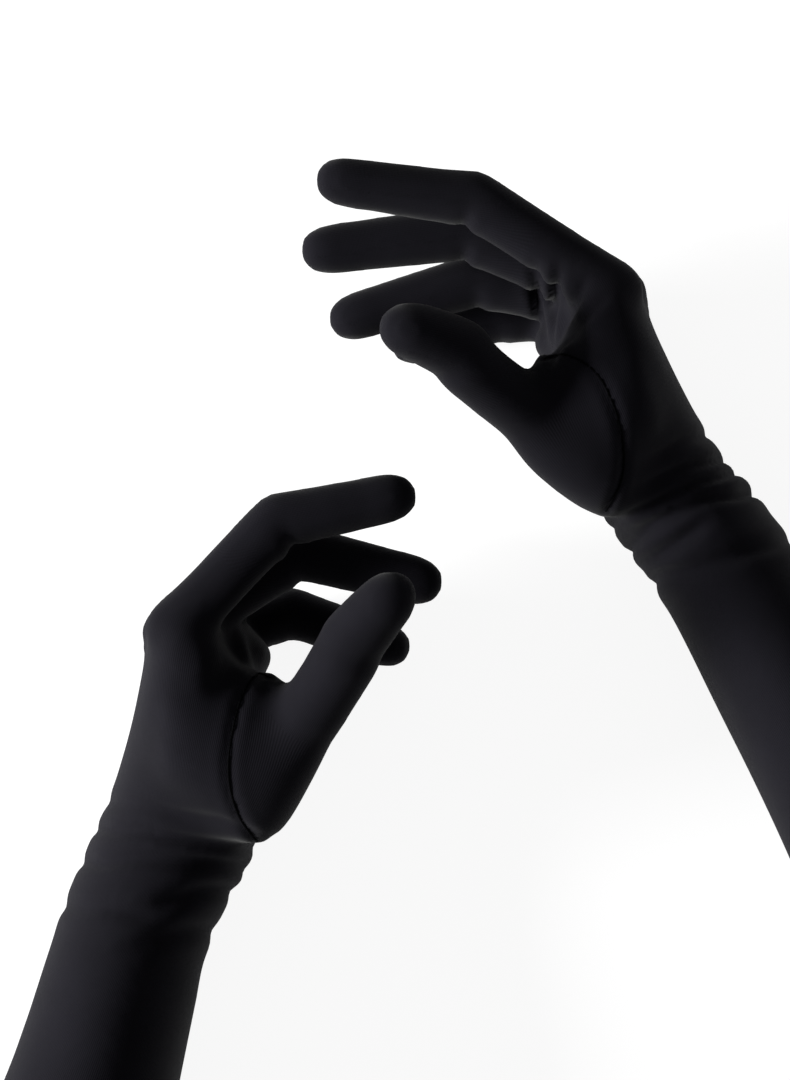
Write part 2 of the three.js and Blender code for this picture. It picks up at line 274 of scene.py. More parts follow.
GLOVES = {
    "left": {
        "side": 1,
        # Edges of the arm seen from above, in mm along the forearm from the wrist
        "arm_along": [-392, -364, -300, -240, -190, -130, -74, -57, -38, -23, -9, 2, 10, 18, 24],
        "arm_palm": [39.5, 39.5, 38, 36.5, 36, 33.5, 29, 26.6, 23.6, 21.6, 22.2, 24.4, 25, 20, 8],
        "arm_back": [
            -39.5, -39.5, -37, -35, -33, -26, -21.4, -21.2, -21.6, -21.9, -21.2, -20.6, -19, -14, -8
        ],
        # Edges of the hand in the same way, along the hand
        "hand_palm": [14, 19, 25, 26, 20, 15, 12, 9.5, 4],
        "hand_back": [-12, -17, -19.6, -18.2, -17, -16, -15.8, -16.2, -16],
        "pad": [8, 13, 18.5, 19, 11],
        "gusset_width": [9.5, 11.8, 12.4, 12.4, 11.6, 10.8],
        "gusset_aside": [0.8, 0.8, 0.3, 0.2, 0.5, 1],
        "thumb_width": [10.8, 10, 9.6, 9.6, 9.6],
        "thumb_aside": [1.2, 1.5, 1.4, 1, 0.6],
        "thumb_end_aside": [0.6, 0.2, -0.4, -0.8, -0.8],
        "finger_aside": {
            "ring": ([0, -1.5, -3.6, -5], [-5, -5.2, -5, -4.4]),
            "index": ([1.2, 0.4, -0.8, -1.4], [-1.4, -1, -0.8, -0.8]),
        },
        "shorten": {"index": 1.2, "middle": 0.8, "ring": 2},
        "crotch": (22.5, 57.5),
    },
    "right": {
        "side": -1,
        "arm_along": [-392, -364, -300, -240, -190, -130, -100, -60, -22, -11, -1, 6, 12, 18, 24],
        "arm_palm": [39.5, 39.5, 37, 35.5, 33.5, 24.4, 20.9, 18.2, 15.8, 16.2, 17.4, 18.4, 18, 13, 5],
        "arm_back": [
            -39.5, -39.5, -36, -34.5, -34, -29.5, -28.3, -27.2, -24.9, -23.5, -21.9, -20.2, -18.5, -14, -8
        ],
        "hand_palm": [10, 14, 18.5, 19.5, 18, 15, 12, 9, 4],
        "hand_back": [-12, -17, -19.8, -18.2, -17, -15.8, -15.2, -15.6, -15.4],
        "pad": [8, 13, 17, 16.5, 10],
        "gusset_width": [9, 12, 13.4, 13.4, 11.6, 10.6],
        "gusset_aside": [0.4, 0.2, 1, 2.6, 4, 4.3],
        "thumb_width": [10.6, 9.8, 9.2, 9.2, 9.4],
        "thumb_aside": [4.5, 4.4, 3.8, 2.8, 1.8],
        "thumb_end_aside": [2, 1, -0.6, -1.6, -1.6],
        "finger_aside": {
            "index": ([1.4, 1, 0.6, 0.6], [0.6, 0.5, -0.3, -1]),
            "middle": ([0, 0, 0, 0], [0, -0.2, -0.6, -0.8]),
            "ring": ([0, 0, 0, 0], [0, -0.2, -0.6, -0.8]),
        },
        "shorten": {"index": 1, "middle": 0.8, "little": 4},
        "crotch": (18.3, 56.4),
    },
}

# Half sizes of each finger from knuckle to middle joint to tip
FINGER_SIZES = {
    "little": (7.6, 7.1, 6.3),
    "ring": (8.1, 7.5, 6.7),
    "middle": (8.3, 7.7, 6.9),
    "index": (8.1, 7.6, 6.8),
}


def arm_frame(side_name):
    side = GLOVES[side_name]["side"]
    wrist = pivot(f"{side_name}_wrist")
    wrist[2] = 0
    elbow = pivot(f"{side_name}_elbow")
    elbow[2] = 0
    y = unit(wrist - elbow)
    x = np.array([y[1], -y[0], 0]) * side
    return Frame(wrist, x, y, (0, 0, 1))


def hand_frame(side_name):
    side = GLOVES[side_name]["side"]
    wrist = pivot(f"{side_name}_wrist")
    wrist[2] = 0
    little = pivot(f"{side_name}_little_knuckle")
    index = pivot(f"{side_name}_index_knuckle")
    y = index - little
    y[2] = 0
    y = unit(y)
    x = np.array([y[1], -y[0], 0]) * side
    return Frame(wrist, x, y, (0, 0, 1))


def tip_point(side_name, finger):
    """The far end of a fingertip's CAD node."""
    node = frame["nodes"][f"{side_name}_{finger}_tip"]
    points = np.array([v.co for v in node.data.vertices])
    joint = pivot(f"{side_name}_{finger}_joint")
    return points[np.argmax(np.linalg.norm(points - joint, axis=1))]


def finger_line(side_name, finger):
    """Knuckle, middle joint and fingertip of the knit. Some fingers end a little short of the CAD tip."""
    knuckle = pivot(f"{side_name}_{finger}_knuckle")
    joint = pivot(f"{side_name}_{finger}_joint")
    tip = tip_point(side_name, finger)
    short = GLOVES[side_name]["shorten"].get(finger, 0) * MM
    return knuckle, joint, tip - unit(tip - joint) * short


def glove_solids(side_name):
    glove = GLOVES[side_name]
    arm, hand = arm_frame(side_name), hand_frame(side_name)
    solids = []

    along = glove["arm_along"]
    broad = curve_through(
        [-392, -364, -290, -190, -130, -60, -25, 10], [42, 42, 40, 39.5, 36, 31, 27, 25.5], np.array(along)
    )
    power = curve_through([-392, -300, -240, -150, 10], [2, 2.2, 2.5, 2.1, 2], np.array(along))
    ending = curve_through([-20, 6, 14, 24], [0, 0.4, 3, 12], np.array(along))
    low, high = 0.4 + ending, 2 * broad - ending
    solids.append(limb(arm, along, glove["arm_palm"], glove["arm_back"], low, high, power, 130, 64))

    hand_along = [-20, -8, 4, 14, 26, 38, 50, 60, 69]
    hand_low = [10, 4, 1.2, 0.8, 0.6, 0.6, 0.8, 2, 6]
    hand_high = [38, 45, 51, 54.5, 60, 66, 71, 73, 70]
    squareness = [2, 2, 2.1, 2.2, 2.4, 2.7, 2.8, 2.8, 2.6]
    solids.append(
        limb(hand, hand_along, glove["hand_palm"], glove["hand_back"],
             hand_low, hand_high, squareness, 48, 64)
    )
    # The pads at the roots of the little and ring fingers
    solids.append(
        limb(hand, [34, 44, 54, 62, 70], glove["pad"], [-8] * 5,
             [5, 3, 3, 4, 8], [46, 50, 52, 50, 44], 2.3, 24, 40)
    )

    for finger in FINGERS:
        knuckle, joint, tip = finger_line(side_name, finger)
        big, middle, small = FINGER_SIZES[finger]
        base_aside, tip_aside = glove["finger_aside"].get(finger, ([0, 0], [0, 0]))
        toward = unit(joint - knuckle)
        start = knuckle - toward * 0.012
        end = joint + toward * 0.008
        solids.append(
            digit(
                start,
                end,
                hand.axes[0],
                [big + 0.8, big + 0.8, big, (big + middle) / 2, middle + 0.4, middle + 0.6],
                [big + 0.5, big + 0.2, 7.5, 7.3, 7.3, 7.2],
                base_aside,
            )
        )
        onward = unit(tip - joint)
        palmward = hand.axes[0] - np.dot(hand.axes[0], toward) * toward
        solids.append(
            digit(
                joint - onward * 0.008,
                tip,
                palmward,
                [middle + 0.6, middle + 0.1, middle - 0.2, middle - 0.6, small - 0.2],
                [7.2, 7, 6.7, 6.4, small - 0.2],
                tip_aside,
            )
        )

    knuckle, joint, tip = finger_line(side_name, "thumb")
    back = unit(pivot(f"{side_name}_thumb_knuckle") - thumb_root(side_name))
    across = unit(hand.axes[0] - np.dot(hand.axes[0], back) * back)
    solids.append(
        digit(thumb_root(side_name) - back * 0.004, knuckle + back * 0.006, across,
              glove["gusset_width"], [12, 16, 17, 15, 12, 11], glove["gusset_aside"])
    )
    toward = unit(joint - knuckle)
    solids.append(
        digit(knuckle - toward * 0.008, joint + toward * 0.009, across,
              glove["thumb_width"], [11, 10.6, 9.9, 9.7, 9.6], glove["thumb_aside"])
    )
    onward = unit(tip - joint)
    solids.append(
        digit(joint - onward * 0.009, tip, across,
              [9.6, 9.3, 8.8, 7.8, 6.4], [9.5, 9.2, 8.8, 8, 6.4], glove["thumb_end_aside"])
    )

    # The web of knit between the thumb and the index finger
    crotch_x, crotch_y = glove["crotch"]
    web = Frame(hand.world((0, 0, 0)), hand.axes[1], hand.axes[0], hand.axes[2])
    solids.append(
        limb(
            web,
            [-6, 2, crotch_x * 0.6, crotch_x + 1, crotch_x + 7],
            [crotch_y + 4, crotch_y + 3.5, crotch_y + 1.5, crotch_y, crotch_y - 4],
            [22, 18, 14, 14, 20],
            [36, 34, 36, 42, 48],
            [70, 70.5, 70, 69, 66],
            2.4,
            steps=24,
            sides=40,
        )
    )
    return solids


def thumb_root(side_name):
    """The rounded lower end of the thumb's gusset, near the wrist."""
    knuckle = pivot(f"{side_name}_thumb_knuckle")
    axis_length = 0.040
    hand = hand_frame(side_name)
    tilt, heading = math.radians(27), math.radians(18.5)
    direction = hand.axes.T @ np.array(
        [math.sin(heading) * math.cos(tilt), math.cos(heading) * math.cos(tilt), math.sin(tilt)]
    )
    return knuckle - direction * axis_length


def ridge(points, path, width):
    """How near each point is to a path, from 1 on it to 0, fading at both of its ends."""
    path = np.array(path, float)
    best = np.full(len(points), 1e9)
    share = np.zeros(len(points))
    lengths = np.concatenate([[0], np.cumsum(np.linalg.norm(np.diff(path, axis=0), axis=1))])
    for i in range(len(path) - 1):
        a, b = path[i], path[i + 1]
        t = np.clip((points - a) @ (b - a) / np.dot(b - a, b - a), 0, 1)
        gap = np.linalg.norm(points - (a + t[:, None] * (b - a)), axis=1)
        nearer = gap < best
        best = np.where(nearer, gap, best)
        share = np.where(nearer, (lengths[i] + t * (lengths[i + 1] - lengths[i])) / lengths[-1], share)
    fade = np.sin(np.clip(share, 0.02, 0.98) * math.pi) ** 0.6
    return np.exp(-((best / width) ** 2)) * fade


# Valleys between the rolls of slack knit at the wrist: path in mm in the arm's frame, half width and depth
WRIST_VALLEYS = {
    "right": [
        ([(2, 18.5), (-8, 16.5), (-16, 15.5), (-34, 14)], 1.9, 1.3),
        ([(7, 12.5), (-6, 9.8), (-18, 6.8), (-36, 2)], 1.8, 2.2),
        ([(10, 6.4), (-6, 4), (-20, 2), (-36, -1)], 1.8, 2.5),
        ([(15, 0.8), (-6, -0.9), (-20, -5.3), (-36, -10)], 1.9, 2.5),
        ([(17, -9.5), (4, -7.7), (-6, -7.2)], 2.1, 2.3),
        ([(22, -14), (10, -15.6), (0, -17.7), (-12, -20.4), (-36, -26)], 2.5, 1.7),
        ([(8, -1), (15, -2), (26, -3)], 1.7, 1.8),
        ([(8, -13.5), (16, -13), (26, -13)], 2.0, 1.6),
        ([(9, 6.5), (16, 6.4), (26, 7)], 1.7, 1.2),
    ],
    "left": [
        ([(-34, 7), (-18, 10.2), (1.3, 14.3), (18.4, 17), (34, 15)], 2.1, 0.9),
        ([(-34, -2), (-16.5, 1.9), (-3.3, 5.7), (10, 8.6), (34, 13)], 1.9, 1.4),
        ([(-34, -12), (-18.4, -8.8), (-0.9, -1), (16, 3.4), (34, 4)], 2.2, 1.5),
        ([(-8, -19), (2.4, -14.4), (14.9, -5.4), (34, -1)], 2.6, 1.8),
        ([(-34, -27), (-18, -22), (-4, -18), (6, -17)], 2.8, 1.1),
        ([(0, -26), (14, -18), (34, -13)], 2.8, 1.2),
    ],
}


def valleys(flat, lines):
    """How far valleys move every point along its normal: down in each, and up in a roll on both sides."""
    amount = np.zeros(len(flat))
    for path, width, depth in lines:
        smooth = smooth_path(path, 16)
        amount -= depth * ridge(flat, smooth, width)
        amount += 0.4 * depth * ridge(flat, smooth, width * 2.3)
    return amount


def add_wrist_folds(skin, side_name):
    """Soft rolls of slack knit round the wrist, weaker under the arm."""
    local = arm_frame(side_name).local(skin.points) / MM
    wobble = 1.4 * np.sin(local[:, 2] / 9) + 0.8 * np.sin(local[:, 2] / 4.1 + local[:, 0] / 6)
    sag = 0.004 * (local[:, 2] - 50) ** 2
    flat = np.stack([local[:, 0], local[:, 1] + 0.5 * wobble + 0.5 * sag], 1)
    upward = 0.45 + 0.55 * smoothstep(4, 40, local[:, 2])
    skin.push(MM * 1.3 * upward * valleys(flat, WRIST_VALLEYS[side_name]))


# Pulled folds that fan out from the crotch of the thumb over the palm, in mm in the hand's frame
PALM_VALLEYS = {
    "right": [
        ([(17.5, 52), (14.6, 62), (12, 70), (9.5, 81)], 1.5, 2.4),
        ([(16.5, 53), (12.4, 61), (8.6, 68), (3.5, 78)], 1.4, 2.4),
        ([(16, 53.5), (10, 60), (5, 64.5), (-2, 71)], 1.25, 1.8),
        ([(15.5, 54.5), (8.5, 58), (2.5, 61), (-5, 64)], 1.2, 1.3),
        ([(15, 55.5), (7, 57), (0, 57.5)], 1.1, 0.5),
    ],
    "left": [
        ([(21, 54), (15, 62), (11, 71)], 1.7, 1.3),
        ([(20, 54), (12, 60), (4, 66)], 1.7, 0.9),
    ],
}


def add_palm_folds(skin, side_name):
    local = hand_frame(side_name).local(skin.points) / MM
    upward = smoothstep(14, 34, local[:, 2])
    skin.push(MM * 1.35 * upward * valleys(local[:, :2], PALM_VALLEYS[side_name]))


def add_joint_creases(skin, side_name):
    """Small creases inside each finger's middle joint and thumb's joint."""
    hand = hand_frame(side_name)
    normals = skin.normals()
    palmward = smoothstep(0.1, 0.8, normals @ hand.axes[0])
    amount = np.zeros(len(skin.points))
    for finger in FINGERS:
        knuckle, joint, tip = finger_line(side_name, finger)
        toward = unit(tip - knuckle)
        gap = (skin.points - joint) @ toward / MM
        away = np.linalg.norm(skin.points - joint, axis=1) / MM
        near = 1 - smoothstep(9, 13, away)
        crease = -0.8 * np.exp(-((gap / 1.6) ** 2)) + 0.35 * np.exp(-(((np.abs(gap) - 4) / 1.8) ** 2))
        amount += crease * near * palmward
    skin.push(MM * amount)


def add_sleeve_slack(skin, side_name):
    """Long shallow pulls and dents of the sleeve, deepest about the elbow."""
    local = arm_frame(side_name).local(skin.points) / MM
    turn = np.arctan2(local[:, 2] - 38, local[:, 0])
    y = local[:, 1]
    near_elbow = np.exp(-(((y + FOREARM / MM) / 42) ** 2))
    rolls = np.cos((y + 9 * np.sin(turn * 2 + 0.6)) / 15 * 2 * math.pi) * (0.5 + 0.5 * np.cos(turn - 0.4))
    broad = 0.5 * np.sin(y / 31 + 2 * turn) + 0.35 * np.sin(y / 17 - 3 * turn + 1.3)
    clear = smoothstep(-372, -352, y) * (1 - smoothstep(-60, -30, y))
    above = smoothstep(0.5, 4, local[:, 2])
    skin.push(MM * above * clear * (0.9 * near_elbow * rolls + 0.5 * broad))


# The gusset's seam from the crotch over the palm to the wrist, in mm from the crotch in the hand's frame
SEAM_PATH = {
    "left": [
        (-1.5, -0.5), (-4.7, 0), (-7, -2.7), (-8.6, -9), (-8.9, -17),
        (-8.2, -26), (-6.3, -33), (-1.9, -41), (4, -47),
    ],
    "right": [
        (-0.5, -1), (-4.5, -1.5), (-8.5, -4.6), (-11.4, -9.4), (-12.7, -16),
        (-12.4, -24.2), (-9.5, -36), (-5.8, -42), (1, -47.5),
    ],
}


def build_skin(side_name):
    points, faces = fused(f"{side_name}_skin", glove_solids(side_name), VOXEL)
    skin = Skin(points, faces)
    hand = hand_frame(side_name)
    local = hand.local(skin.points) / MM
    body = 1 - smoothstep(66, 80, local[:, 1])
    skin.smooth(6)
    skin.smooth(14, 0.25 + 0.75 * body)
    between = np.zeros(len(points))
    for finger in FINGERS + ["thumb"]:
        knuckle = pivot(f"{side_name}_{finger}_knuckle")
        away = np.linalg.norm(skin.points - knuckle, axis=1) / MM
        between = np.maximum(between, 1 - smoothstep(10, 22, away))
    crotch = hand.world(np.array([*GLOVES[side_name]["crotch"], 56]) * MM)
    away = np.linalg.norm(skin.points - crotch, axis=1) / MM
    between = np.maximum(between, 1 - smoothstep(14, 30, away))
    skin.smooth(18, 0.8 * between, keep_size=False)
    wrist = np.exp(-(((arm_frame(side_name).local(skin.points)[:, 1] / MM - 4) / 18) ** 2))
    skin.smooth(int(0.036 / VOXEL), wrist, keep_size=False)
    local = hand.local(skin.points) / MM
    mound = smoothstep(26, 34, local[:, 2]) * np.exp(-(((local[:, 1] - 18) / 22) ** 4))
    skin.smooth(int(0.12 / VOXEL), mound * (1 - smoothstep(60, 72, local[:, 1])), keep_size=False)
    add_sleeve_slack(skin, side_name)
    add_wrist_folds(skin, side_name)
    add_palm_folds(skin, side_name)
    add_joint_creases(skin, side_name)
    skin.smooth(2)
    skin.points[:, 2] = np.maximum(skin.points[:, 2], 0.00005)
    return skin


# ---------------------------------------------------------------- materials

def node_tree(name):
    material = bpy.data.materials.new(name)
    material.use_nodes = True
    return material, material.node_tree.nodes, material.node_tree.links


def knit_material(name, colour, sheen, bump=0.3, rib=0.0005):
    """Fine stretch knit: wales and courses from the knit attribute, uneven dye and a little sheen."""
    material, nodes, links = node_tree(name)
    shader = nodes["Principled BSDF"]
    shader.inputs["Roughness"].default_value = 0.85
    shader.inputs["Specular IOR Level"].default_value = 0.05
    shader.inputs["Sheen Weight"].default_value = sheen
    shader.inputs["Sheen Roughness"].default_value = 0.42
    shader.inputs["Sheen Tint"].default_value = (0.93, 0.94, 0.9, 1)

    place = nodes.new("ShaderNodeAttribute")
    place.attribute_name = "knit"
    wales = nodes.new("ShaderNodeTexWave")
    wales.wave_type = "BANDS"
    wales.bands_direction = "X"
    wales.inputs["Scale"].default_value = 0.314 / rib
    wales.inputs["Distortion"].default_value = 0.6
    wales.inputs["Detail"].default_value = 1
    links.new(place.outputs["Vector"], wales.inputs["Vector"])
    courses = nodes.new("ShaderNodeTexWave")
    courses.wave_type = "BANDS"
    courses.bands_direction = "Y"
    courses.inputs["Scale"].default_value = 0.314 / (rib * 0.8)
    courses.inputs["Distortion"].default_value = 0.8
    courses.inputs["Detail"].default_value = 1
    links.new(place.outputs["Vector"], courses.inputs["Vector"])
    loops = nodes.new("ShaderNodeMath")
    loops.operation = "MULTIPLY_ADD"
    loops.inputs[1].default_value = 0.45
    links.new(courses.outputs["Fac"], loops.inputs[0])
    links.new(wales.outputs["Fac"], loops.inputs[2])

    where = nodes.new("ShaderNodeTexCoord")
    fuzz = nodes.new("ShaderNodeTexNoise")
    fuzz.inputs["Scale"].default_value = 2600
    fuzz.inputs["Detail"].default_value = 2
    links.new(where.outputs["Object"], fuzz.inputs["Vector"])
    dye = nodes.new("ShaderNodeTexNoise")
    dye.inputs["Scale"].default_value = 46
    dye.inputs["Detail"].default_value = 3
    links.new(where.outputs["Object"], dye.inputs["Vector"])

    mixed = nodes.new("ShaderNodeMath")
    mixed.operation = "MULTIPLY_ADD"
    mixed.inputs[1].default_value = 0.6
    links.new(fuzz.outputs["Fac"], mixed.inputs[0])
    links.new(loops.outputs["Value"], mixed.inputs[2])

    ramp = nodes.new("ShaderNodeValToRGB")
    ramp.color_ramp.elements[0].position = 0.25
    ramp.color_ramp.elements[1].position = 1.0
    ramp.color_ramp.elements[0].color = (*[c * 0.62 for c in colour], 1)
    ramp.color_ramp.elements[1].color = (*[c * 1.3 for c in colour], 1)
    shade = nodes.new("ShaderNodeMath")
    shade.operation = "MULTIPLY_ADD"
    shade.inputs[1].default_value = 0.5
    links.new(mixed.outputs["Value"], shade.inputs[0])
    links.new(dye.outputs["Fac"], shade.inputs[2])
    soften = nodes.new("ShaderNodeMath")
    soften.operation = "MULTIPLY"
    soften.inputs[1].default_value = 0.62
    links.new(shade.outputs["Value"], soften.inputs[0])
    links.new(soften.outputs["Value"], ramp.inputs["Fac"])
    links.new(ramp.outputs["Color"], shader.inputs["Base Color"])

    bumps = nodes.new("ShaderNodeBump")
    bumps.inputs["Strength"].default_value = bump
    bumps.inputs["Distance"].default_value = 0.00012
    links.new(mixed.outputs["Value"], bumps.inputs["Height"])
    links.new(bumps.outputs["Normal"], shader.inputs["Normal"])
    return material


def thread_material():
    """Twisted sewing thread, a little glossier than the knit. Its colour is painted shade: far darker than
    the knit's, so the gusset seam's thread reads as sunk in its groove; the hem stitches share it.
    """
    material, nodes, links = node_tree("thread")
    shader = nodes["Principled BSDF"]
    shader.inputs["Roughness"].default_value = 0.75
    shader.inputs["Specular IOR Level"].default_value = 0.02
    where = nodes.new("ShaderNodeTexCoord")
    twist = nodes.new("ShaderNodeTexWave")
    twist.bands_direction = "DIAGONAL"
    twist.inputs["Scale"].default_value = 700
    twist.inputs["Distortion"].default_value = 1.5
    links.new(where.outputs["Object"], twist.inputs["Vector"])
    # Painted shade: these thread colours are set several times darker than the knit so the thread looks sunk
    # in the seam's groove.
    ramp = nodes.new("ShaderNodeValToRGB")
    ramp.color_ramp.elements[0].color = (0.0006, 0.0006, 0.0008, 1)
    ramp.color_ramp.elements[1].color = (0.0022, 0.0021, 0.0026, 1)
    links.new(twist.outputs["Fac"], ramp.inputs["Fac"])
    links.new(ramp.outputs["Color"], shader.inputs["Base Color"])
    bumps = nodes.new("ShaderNodeBump")
    bumps.inputs["Strength"].default_value = 0.5
    bumps.inputs["Distance"].default_value = 0.0001
    links.new(twist.outputs["Fac"], bumps.inputs["Height"])
    links.new(bumps.outputs["Normal"], shader.inputs["Normal"])
    return material


KNIT = knit_material("knit", (0.0066, 0.0062, 0.0088), 0.05)
KNIT_INSIDE = knit_material("knit_inside", (0.0056, 0.0053, 0.0074), 0.04, bump=0.5, rib=0.0006)
THREAD = thread_material()


# ---------------------------------------------------------------- cutting the skin into pieces

def knit_places(points, place):
    """Where each point lies in the knit, round the limb and along it, in metres. The jump is underneath."""
    local = place.local(points)
    middle = local[:, [0, 2]].mean(0)
    around = local[:, [0, 2]] - middle
    turn = np.arctan2(around[:, 0], around[:, 1])
    return np.stack([turn * np.linalg.norm(around, axis=1).mean(), local[:, 1], 0 * turn], 1)


def cut_piece(name, skin, normals, chosen, place, thickness=0.0):
    """The chosen faces of the skin as an object that shades as if it were still whole."""
    quads = skin.quads[chosen]
    used, compact = np.unique(quads, return_inverse=True)
    quads = compact.reshape(quads.shape)
    points, outward = skin.points[used], normals[used]
    faces = [tuple(q) if q[3] != q[0] else tuple(q[:3]) for q in quads]
    loop_normals = [outward[i] for f in faces for i in f]
    if thickness:
        count = len(points)
        edges = {}
        for face in faces:
            for a, b in zip(face, face[1:] + face[:1]):
                edges[(a, b)] = True
        rims = [(b, a, a + count, b + count) for a, b in edges if (b, a) not in edges]
        inner = [tuple(i + count for i in reversed(f)) for f in faces]
        loop_normals += [-outward[i - count] for f in inner for i in f]
        for rim in rims:
            corners = [points[i % count] - outward[i % count] * (thickness if i >= count else 0) for i in rim]
            flat = np.cross(corners[2] - corners[0], corners[3] - corners[1])
            loop_normals += [unit(flat + 1e-15)] * 4
        points = np.concatenate([points, points - outward * thickness])
        faces = faces + inner + rims
    made = mesh_object(name, points, faces)
    mesh = made.data
    attribute = mesh.attributes.new("knit", "FLOAT_VECTOR", "POINT")
    attribute.data.foreach_set("vector", knit_places(points, place).astype(np.float32).ravel())
    mesh.polygons.foreach_set("use_smooth", [True] * len(mesh.polygons))
    mesh.normals_split_custom_set([tuple(n) for n in loop_normals])
    mesh.materials.append(KNIT)
    return made


def line_frame(origin, direction, across):
    y = unit(direction)
    x = unit(np.array(across) - np.dot(across, y) * y)
    return Frame(origin, x, y, np.cross(x, y))


def area_of(made):
    return sum(p.area for p in made.data.polygons)


def declare(made, around, along, layers=1):
    """Its cut area isn't known on its own: it is worked back from the finished piece, as if that
    stretched the knit by STRETCH, and kept within what flat allows. The result is not stored or used."""
    area = area_of(made) / layers / STRETCH
    area = max(0.31 * around * along, min(area, around * along))


def open_hem(skin, side_name):
    """Faces of the skin inside the glove's length, cut off level at the hem."""
    arm = arm_frame(side_name)
    hem = -SLEEVE
    local = arm.local(skin.points)
    near = np.abs(local[:, 1] - hem) < VOXEL * 0.75
    moved = local.copy()
    moved[near, 1] = hem
    skin.points = arm.world(moved)
    outside = (moved[:, 1] < hem - 1e-9)[skin.quads].any(axis=1)
    return ~outside


def split_glove(side_name, skin):
    arm, hand = arm_frame(side_name), hand_frame(side_name)
    keep = open_hem(skin, side_name)
    normals = skin.normals()
    centres = skin.points[skin.quads].mean(axis=1)
    along_arm = arm.local(centres)[:, 1]

    label = np.full(len(centres), "palm", dtype=object)
    digits = {}
    for finger in FINGERS + ["thumb"]:
        knuckle, joint, tip = finger_line(side_name, finger)
        digits[finger] = (knuckle, joint, tip)
    # Each finger's knit starts on a plane that halves the bend of its knuckle, the thumb's at the crotch
    roots = {}
    crotch = hand.world(np.array([*GLOVES[side_name]["crotch"], 52.0]) * MM)
    for finger, (knuckle, joint, tip) in digits.items():
        toward = unit(joint - knuckle)
        if finger == "thumb":
            level = float(np.clip(np.dot(crotch - knuckle, toward), -0.004, 0))
            full = float(np.linalg.norm(joint - knuckle)) * 0.5
            roots[finger] = (toward, level, full, 0.016)
        else:
            roots[finger] = (unit(hand.axes[1] + toward), 0.002, 0.018, 0.06)
    nearest = np.full(len(centres), 1e9)
    owner = np.full(len(centres), "", dtype=object)
    for finger, (knuckle, joint, tip) in digits.items():
        for a, b in ((knuckle, joint), (joint, tip)):
            t = np.clip((centres - a) @ (b - a) / np.dot(b - a, b - a), 0, 1)
            gap = np.linalg.norm(centres - (a + t[:, None] * (b - a)), axis=1)
            nearer = gap < nearest
            nearest = np.where(nearer, gap, nearest)
            owner[nearer] = finger
    for finger, (knuckle, joint, tip) in digits.items():
        toward = unit(joint - knuckle)
        out, start, full, reach = roots[finger]
        from_knuckle = (centres - knuckle) @ toward
        from_joint = (centres - joint) @ unit(unit(tip - joint) + toward)
        mine = (owner == finger) & ((centres - knuckle) @ out > start) & (nearest < reach)
        half = np.linalg.norm(joint - knuckle) * 0.52
        label[mine] = f"{finger}_root"
        label[mine & ((from_knuckle > half) | (from_joint > -0.012))] = f"{finger}_end"
    label[(label == "palm") & (along_arm < 0.018)] = "forearm"
    label[along_arm < SLEEVE_CUT] = "sleeve"
    label[~keep] = ""

    made = {}
    for part in np.unique(label[label != ""]):
        if part in ("sleeve", "forearm"):
            place = arm
        elif part == "palm":
            place = hand
        else:
            finger, end = part.rsplit("_", 1)
            knuckle, joint, tip = digits[finger]
            a, b = (knuckle, joint) if end == "root" else (joint, tip)
            place = line_frame(a, b - a, hand.axes[0])
        thick = KNIT_THICKNESS if part == "sleeve" or part.endswith("_end") else 0.0
        made[part] = cut_piece(f"{side_name}_{part}_knit", skin, normals, label == part, place, thick)

    def crossing(piece):
        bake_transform(piece)

    crossing(made["sleeve"])
    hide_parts(f"{side_name}_upper_sleeve")
    declare(made["sleeve"], 0.262, 0.262, layers=2)
    crossing(made["forearm"])
    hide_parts(f"{side_name}_forearm_sleeve")
    declare(made["forearm"], 0.215, 0.140)
    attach(made["palm"], f"{side_name}_hand")
    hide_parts(f"{side_name}_hand", f"{side_name}_thumb_gusset")
    declare(made["palm"], 0.225, 0.110)
    for finger, (knuckle, joint, tip) in digits.items():
        toward = unit(joint - knuckle)
        root, end = made[f"{finger}_root"], made[f"{finger}_end"]
        out, start, full, reach = roots[finger]
        crossing(root)
        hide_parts(f"{side_name}_{finger}_base")
        declare(root, 0.056, 0.028)
        crossing(end)
        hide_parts(f"{side_name}_{finger}_tip")
        declare(end, 0.054, 0.062, layers=2)


# ---------------------------------------------------------------- thread, hem and seams

def tube_along(path, radius, sides=6, flat=1.0, up=None):
    """A closed thread that follows a path. flat squashes it against the surface it lies on."""
    path = np.array(path, float)
    count = len(path)
    tangents = np.gradient(path, axis=0)
    tangents /= np.linalg.norm(tangents, axis=1)[:, None]
    ups = np.broadcast_to((0, 0, 1), path.shape) if up is None else np.array(up, float)
    ups = ups - (ups * tangents).sum(1)[:, None] * tangents
    ups /= np.linalg.norm(ups, axis=1)[:, None]
    rights = np.cross(tangents, ups)
    turn = np.arange(sides) * 2 * math.pi / sides
    rows = [
        path[i] + radius * (np.outer(np.cos(turn), rights[i]) + flat * np.outer(np.sin(turn), ups[i]))
        for i in range(count)
    ]
    faces = []
    for i in range(count - 1):
        for j in range(sides):
            a, b = i * sides + j, i * sides + (j + 1) % sides
            faces.append((a, a + sides, b + sides, b))
    faces.append(tuple(range(sides)))
    faces.append(tuple(reversed(range((count - 1) * sides, count * sides))))
    return np.concatenate(rows), faces


def joined(name, parts, material):
    points, faces, count = [], [], 0
    for part_points, part_faces in parts:
        points.append(part_points)
        faces += [tuple(i + count for i in f) for f in part_faces]
        count += len(part_points)
    made = mesh_object(name, np.concatenate(points), faces)
    made.data.polygons.foreach_set("use_smooth", [True] * len(made.data.polygons))
    made.data.materials.append(material)
    return made


def surface_tree(skin):
    return BVHTree.FromPolygons([tuple(p) for p in skin.points], skin.faces)


